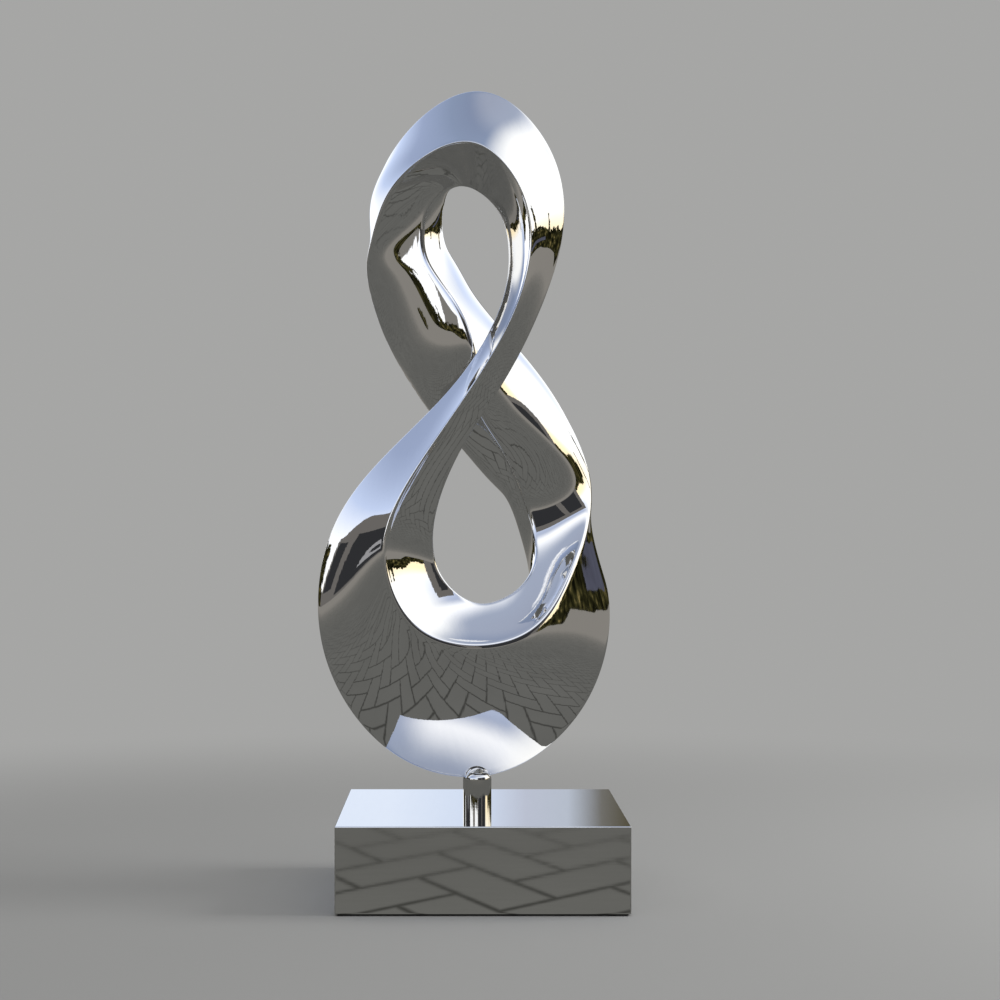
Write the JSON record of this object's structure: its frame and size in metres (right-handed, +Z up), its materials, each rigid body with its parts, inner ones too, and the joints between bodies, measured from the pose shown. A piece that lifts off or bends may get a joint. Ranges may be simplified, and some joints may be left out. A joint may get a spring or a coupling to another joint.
{
  "type": "knot sculpture",
  "caption": "Mirror-polished steel sculpture: a ridged band looped into an upright figure of eight, on a short round stem and a square block base",
  "frame": {"origin": "centre of the underside of the non-slip pad, on the surface the sculpture stands on", "axes": "+X to the viewer's right, +Y away from the viewer, +Z up; the front of the sculpture faces -Y"},
  "size_m": [0.2341, 0.215, 0.6223],
  "materials": {
    "polished_steel": "stainless steel, mirror-polished, seams ground flush",
    "inner_steel": "stainless steel as rolled or machined, unpolished",
    "zinc_steel": "bright zinc plate",
    "ballast_iron": "oiled cast iron",
    "pad_rubber": "matt black rubber sheet"
  },
  "bodies": {
    "root": {"crown_top_sheet": "polished_steel", "crown_back_sheet": "polished_steel", "crown_under_sheet": "polished_steel", "front_strand_right_sheet": "polished_steel", "front_strand_back_sheet": "polished_steel", "front_strand_left_sheet": "polished_steel", "left_flank_inner_sheet": "polished_steel", "left_flank_back_sheet": "polished_steel", "left_flank_outer_sheet": "polished_steel", "belly_upper_sheet": "polished_steel", "belly_back_sheet": "polished_steel", "belly_front_sheet": "polished_steel", "right_flank_inner_sheet": "polished_steel", "right_flank_left_sheet": "polished_steel", "right_flank_outer_sheet": "polished_steel", "back_strand_right_sheet": "polished_steel", "back_strand_left_sheet": "polished_steel", "back_strand_back_sheet": "polished_steel", "upper_right_rib": "inner_steel", "front_strand_rib": "inner_steel", "lower_left_rib": "inner_steel", "belly_rib": "inner_steel", "lower_right_rib": "inner_steel", "upper_left_rib": "inner_steel", "foot_block": "inner_steel", "tie_rod": "zinc_steel", "stem": "polished_steel", "spreader_plate": "inner_steel", "washer": "zinc_steel", "nut": "zinc_steel", "base_top_plate": "polished_steel", "base_front_plate": "polished_steel", "base_back_plate": "polished_steel", "base_left_plate": "polished_steel", "base_right_plate": "polished_steel", "base_bottom_plate": "inner_steel", "post_front_left": "inner_steel", "post_front_right": "inner_steel", "post_back_left": "inner_steel", "post_back_right": "inner_steel", "cover_screws": "zinc_steel", "ballast_slab": "ballast_iron", "ballast_screws": "zinc_steel", "non_slip_pad": "pad_rubber"}
  },
  "joints": []
}
